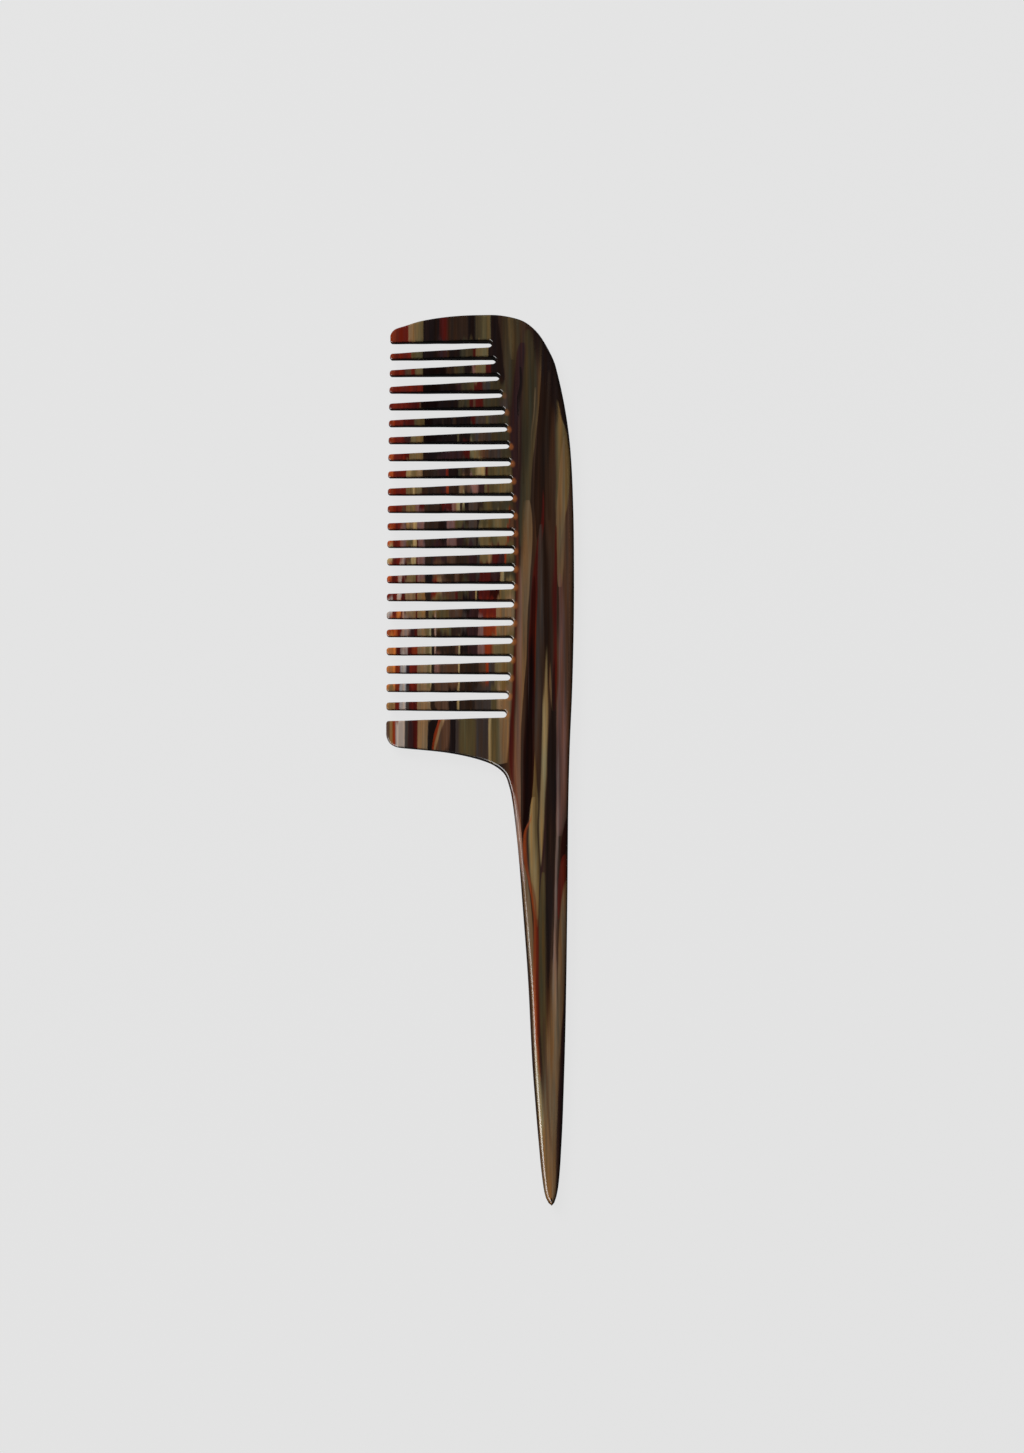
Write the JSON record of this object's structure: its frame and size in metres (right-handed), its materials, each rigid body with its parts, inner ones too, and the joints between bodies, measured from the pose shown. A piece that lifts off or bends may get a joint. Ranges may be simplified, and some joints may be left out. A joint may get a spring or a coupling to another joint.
{
  "type": "tail comb",
  "caption": "Flat tail comb of horn-patterned acetate: bevelled teeth between two end guards on a rounded spine that runs out into a tapered sectioning tail.",
  "frame": {"origin": "middle of the comb's outline, on the plane of its flat back face, which is what it lies on", "axes": "+Y along the comb from the tail's end toward the head, -X the way the teeth point, +Z out of the front face"},
  "size_m": [0.0454, 0.215, 0.0045],
  "materials": {
    "horn_acetate": "hand-polished laminated cellulose acetate sheet in a streaked horn pattern"
  },
  "bodies": {
    "root": {"head_guard": "horn_acetate", "tail_guard": "horn_acetate", "spine": "horn_acetate", "tail": "horn_acetate", "tooth_01": "horn_acetate", "tooth_02": "horn_acetate", "tooth_03": "horn_acetate", "tooth_04": "horn_acetate", "tooth_05": "horn_acetate", "tooth_06": "horn_acetate", "tooth_07": "horn_acetate", "tooth_08": "horn_acetate", "tooth_09": "horn_acetate", "tooth_10": "horn_acetate", "tooth_11": "horn_acetate", "tooth_12": "horn_acetate", "tooth_13": "horn_acetate", "tooth_14": "horn_acetate", "tooth_15": "horn_acetate", "tooth_16": "horn_acetate", "tooth_17": "horn_acetate", "tooth_18": "horn_acetate", "tooth_19": "horn_acetate", "tooth_20": "horn_acetate", "tooth_21": "horn_acetate"}
  },
  "joints": []
}
